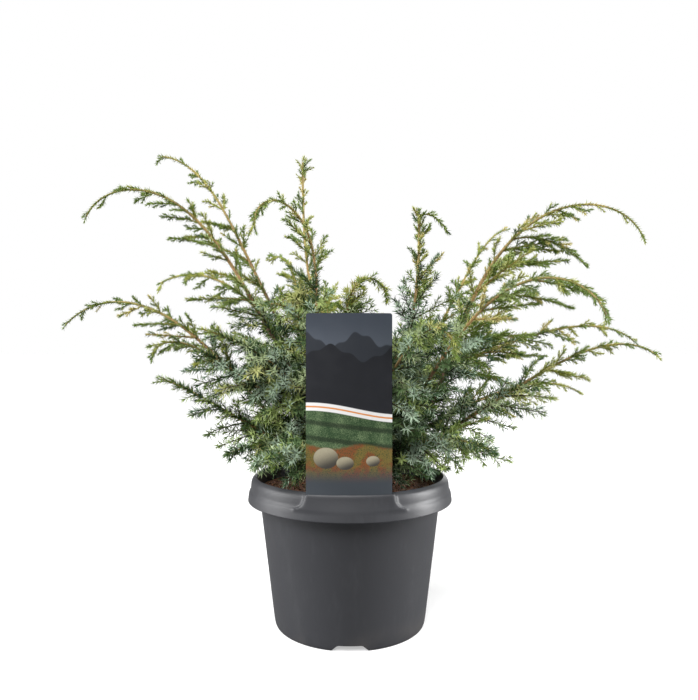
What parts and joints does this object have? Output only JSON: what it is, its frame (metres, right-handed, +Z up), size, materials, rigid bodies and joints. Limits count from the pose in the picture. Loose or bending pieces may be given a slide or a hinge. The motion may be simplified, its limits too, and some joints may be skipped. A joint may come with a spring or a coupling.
{
  "type": "potted chinese juniper",
  "caption": "Young Chinese juniper with arching shoots of blue-green needles, in a round dark grey nursery pot with a picture label standing in its rim.",
  "frame": {"origin": "on the floor under the pot's middle, at the centre of the round pad under its base", "axes": "+Z up along the pot's axis; +X to the right as seen from the front, along the plant's widest spread; the label faces -Y, the front"},
  "size_m": [0.6047, 0.4072, 0.4683],
  "materials": {
    "pot": "satin",
    "soil": "rough",
    "label": "printed",
    "bark": "rough",
    "needle": "matt"
  },
  "bodies": {
    "root": {"bough_back_arch": "bark", "bough_back_low": "bark", "bough_crown_back": "bark", "bough_crown_nod": "bark", "bough_crown_short": "bark", "bough_crown_tall": "bark", "bough_front_arch": "bark", "bough_front_left": "bark", "bough_left_arch": "bark", "bough_left_foot": "bark", "bough_left_front": "bark", "bough_left_high": "bark", "bough_left_low": "bark", "bough_left_mid": "bark", "bough_right_arch": "bark", "bough_right_back": "bark", "bough_right_foot": "bark", "bough_right_front": "bark", "bough_right_high": "bark", "bough_right_low": "bark", "bough_right_tall": "bark", "foliage_back_arch": "needle", "foliage_back_low": "needle", "foliage_crown_back": "needle", "foliage_crown_nod": "needle", "foliage_crown_short": "needle", "foliage_crown_tall": "needle", "foliage_front_arch": "needle", "foliage_front_left": "needle", "foliage_left_arch": "needle", "foliage_left_foot": "needle", "foliage_left_front": "needle", "foliage_left_high": "needle", "foliage_left_low": "needle", "foliage_left_mid": "needle", "foliage_low_1": "needle", "foliage_low_2": "needle", "foliage_low_3": "needle", "foliage_low_4": "needle", "foliage_low_5": "needle", "foliage_low_6": "needle", "foliage_mid_1": "needle", "foliage_mid_2": "needle", "foliage_mid_3": "needle", "foliage_mid_4": "needle", "foliage_mid_5": "needle", "foliage_right_arch": "needle", "foliage_right_back": "needle", "foliage_right_foot": "needle", "foliage_right_front": "needle", "foliage_right_high": "needle", "foliage_right_low": "needle", "foliage_right_tall": "needle", "foliage_top_1": "needle", "foliage_top_2": "needle", "foliage_top_3": "needle", "label": "label", "pot": "pot", "soil": "soil", "trunk": "bark"}
  },
  "joints": []
}
